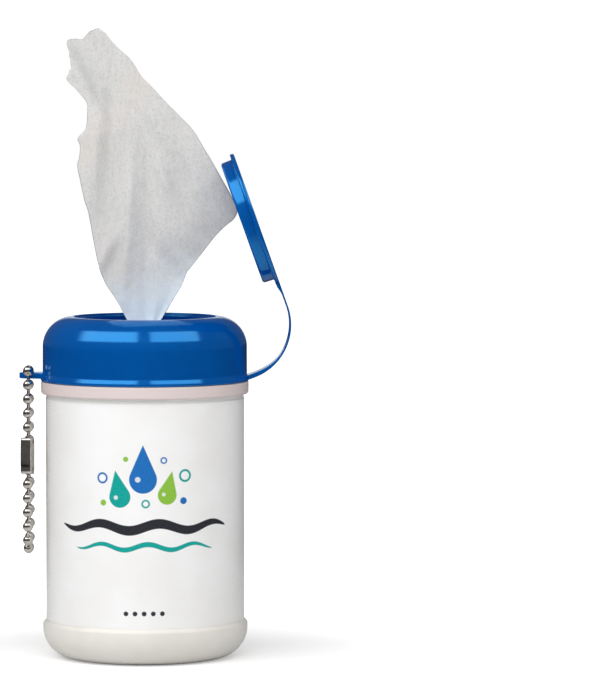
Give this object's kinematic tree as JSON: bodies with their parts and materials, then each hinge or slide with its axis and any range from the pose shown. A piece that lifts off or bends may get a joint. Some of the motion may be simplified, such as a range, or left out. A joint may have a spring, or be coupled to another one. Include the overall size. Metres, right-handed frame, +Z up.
{
  "type": "wipes dispenser",
  "caption": "Pocket canister of wet wipes with a push-on lid, a flip cap on a moulded strap, a wipe drawn up through a slit orifice and a ball chain loop.",
  "frame": {"origin": "centre of the ring that the canister stands on", "axes": "+Z up along the canister's axis, +X towards the strap and the flip cap, -X towards the lug and the chain, -Y towards the front seen in the picture"},
  "size_m": [0.0637, 0.0488, 0.1478],
  "materials": {
    "canister": "blow-moulded off-white polyethylene, satin",
    "label": "satin film wrap with a plain printed design of drops and waves",
    "lid": "injection-moulded polypropylene, glossy, translucent-looking blue with sharp reflections",
    "wipe": "thin off-white nonwoven, soft folds, torn perforated edges",
    "chain": "nickel-plated hollow steel beads on steel pins",
    "clasp": "nickel-plated folded steel strip"
  },
  "bodies": {
    "canister": {"canister_body": "canister", "label_sleeve": "label", "wipe_roll": "wipe", "wipe_tail": "wipe"},
    "lid": {"lid_shell": "lid", "strap": "lid"},
    "strap_end": {"strap_tip": "lid"},
    "flip_cap": {"flip_cap": "lid"},
    "wipe": {"wipe_sheet": "wipe"},
    "chain_saddle": {"chain_saddle_beads": "chain", "chain_saddle_pins": "chain"},
    "chain_upper": {"chain_upper_beads": "chain", "chain_upper_pins": "chain", "chain_clasp": "clasp"},
    "chain_lower": {"chain_lower_beads": "chain", "chain_lower_pins": "chain"}
  },
  "joints": [
    {"name": "lid_lift", "type": "slide", "parent": "canister", "child": "lid", "axis": [0, 0, 1], "range_m": [0, 0.025], "deforming": ["wipe_tail"]},
    {"name": "cap_swing", "type": "hinge", "parent": "lid", "child": "strap_end", "pos_m": [0.02662, 0, 0.07484], "axis": [0, -1, 0], "range_deg": [0, 70.4], "stiffness_Nm_per_rad": 0.003, "deforming": ["strap", "wipe_sheet"]},
    {"name": "cap_press", "type": "slide", "parent": "strap_end", "child": "flip_cap", "axis": [-0.9421, 0, -0.3355], "range_m": [0, 0.0033], "stiffness_N_per_m": 100},
    {"name": "wipe_pull", "type": "slide", "parent": "lid", "child": "wipe", "axis": [0, 0, 1], "range_m": [0, 0.015]},
    {"name": "chain_sway", "type": "hinge", "parent": "lid", "child": "chain_saddle", "pos_m": [-0.02722, -0.00177, 0.0662], "axis": [0.9999, -0.014, 0], "range_deg": [-6, 6]},
    {"name": "chain_swing", "type": "hinge", "parent": "chain_saddle", "child": "chain_upper", "pos_m": [-0.0272, 0, 0.06405], "axis": [0.014, 0.9998, -0.0172], "range_deg": [-1, 70]},
    {"name": "chain_bend", "type": "hinge", "parent": "chain_upper", "child": "chain_lower", "pos_m": [-0.02717, 0.00211, 0.04105], "axis": [0.014, 0.9999, -0.0002], "range_deg": [-2, 60]}
  ]
}
